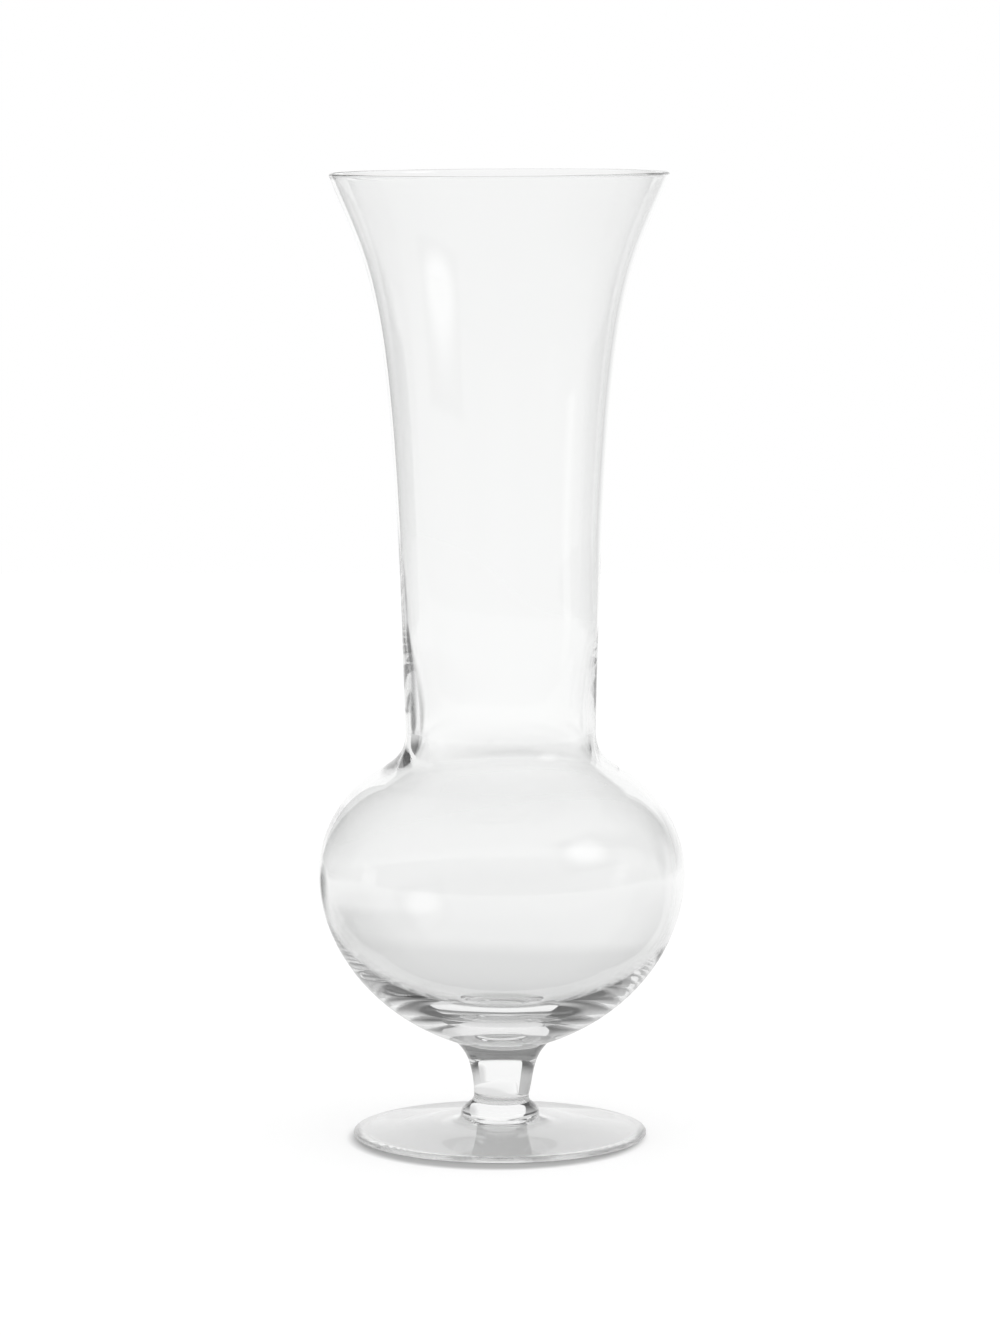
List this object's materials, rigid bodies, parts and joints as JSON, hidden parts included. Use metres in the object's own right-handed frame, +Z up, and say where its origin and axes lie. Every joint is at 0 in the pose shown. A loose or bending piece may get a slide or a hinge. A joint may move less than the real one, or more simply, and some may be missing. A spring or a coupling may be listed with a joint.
{
  "type": "footed glass vase",
  "caption": "Tall clear glass vase with a flared trumpet neck on a flattened bulb, carried by a short waisted stem on a round foot; holds cut flowers in water.",
  "frame": {"origin": "on the table, under the middle of the foot", "axes": "+Z up along the axis of revolution, towards the mouth"},
  "size_m": [0.19, 0.19, 0.5],
  "materials": {
    "clear_glass": "clear, colourless, fire-polished"
  },
  "bodies": {
    "root": {"neck": "clear_glass", "bulb": "clear_glass", "stem": "clear_glass", "foot": "clear_glass"}
  },
  "joints": []
}
